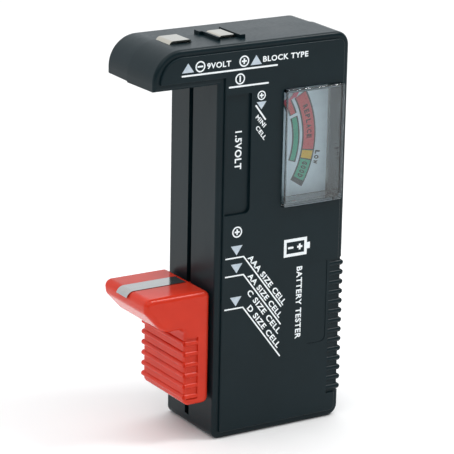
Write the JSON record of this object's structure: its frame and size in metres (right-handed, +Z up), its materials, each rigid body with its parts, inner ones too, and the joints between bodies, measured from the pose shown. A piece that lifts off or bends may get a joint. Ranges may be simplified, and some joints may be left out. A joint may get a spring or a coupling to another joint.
{
  "type": "battery tester",
  "caption": "Hand-held analogue battery tester: slim black housing with an overhanging arm, a sliding red jaw for cells, top contacts for block batteries and a moving-coil dial window.",
  "frame": {"origin": "centre of the housing's flat base", "axes": "+Z up along the housing, -Y out of the printed front face, -X the side with the arm and the sliding jaw"},
  "size_m": [0.0621, 0.027, 0.1109],
  "materials": {
    "housing_black": "satin moulded ABS",
    "slider_red": "glossy moulded ABS",
    "contact_nickel": "nickel-plated spring steel",
    "window_clear": "clear moulded styrene",
    "meter_white": "white moulded case",
    "dial_print": "printed card-thin plate",
    "needle_pink": "painted pointer",
    "magnet_grey": "sintered",
    "ring_steel": "plated",
    "bearing_brass": "turned",
    "shaft_steel": "polished",
    "coil_frame": "thin sheet",
    "coil_wire": "enamelled copper",
    "board_tan": "laminate",
    "resistor_beige": "lacquered",
    "lead_black": "insulated wire",
    "lead_red": "insulated wire",
    "screw_steel": "zinc plated",
    "label_grey": "blank label"
  },
  "bodies": {
    "housing": {"front_shell": "housing_black", "rear_shell": "housing_black", "bus_strip": "contact_nickel", "arm_contact": "contact_nickel", "block_contact_minus": "contact_nickel", "block_contact_plus": "contact_nickel", "meter_cover": "window_clear", "meter_case": "meter_white", "dial_plate": "dial_print", "core_magnet": "magnet_grey", "yoke_ring": "ring_steel", "front_bridge": "bearing_brass", "pivot_bearings": "bearing_brass", "meter_terminals": "bearing_brass", "circuit_board": "board_tan", "resistor_bodies": "resistor_beige", "resistor_leads": "ring_steel", "lead_common": "lead_black", "lead_block": "lead_red", "lead_cell": "lead_red", "lead_meter": "lead_red", "case_screws": "screw_steel", "rear_label": "label_grey"},
    "jaw": {"slider": "slider_red", "jaw_contact": "contact_nickel"},
    "pointer": {"pivot_shaft": "shaft_steel", "coil_former": "coil_frame", "coil_winding": "coil_wire", "needle": "needle_pink", "hairspring": "bearing_brass"}
  },
  "joints": [
    {"name": "jaw_slide", "type": "slide", "parent": "housing", "child": "jaw", "axis": [0, 0, 1], "range_m": [-0.0065, 0.0545]},
    {"name": "pointer_swing", "type": "hinge", "parent": "housing", "child": "pointer", "pos_m": [-0.0126, -0.0054, 0.0808], "axis": [0, 1, 0], "range_deg": [0, 67], "stiffness_Nm_per_rad": 0.000004}
  ]
}
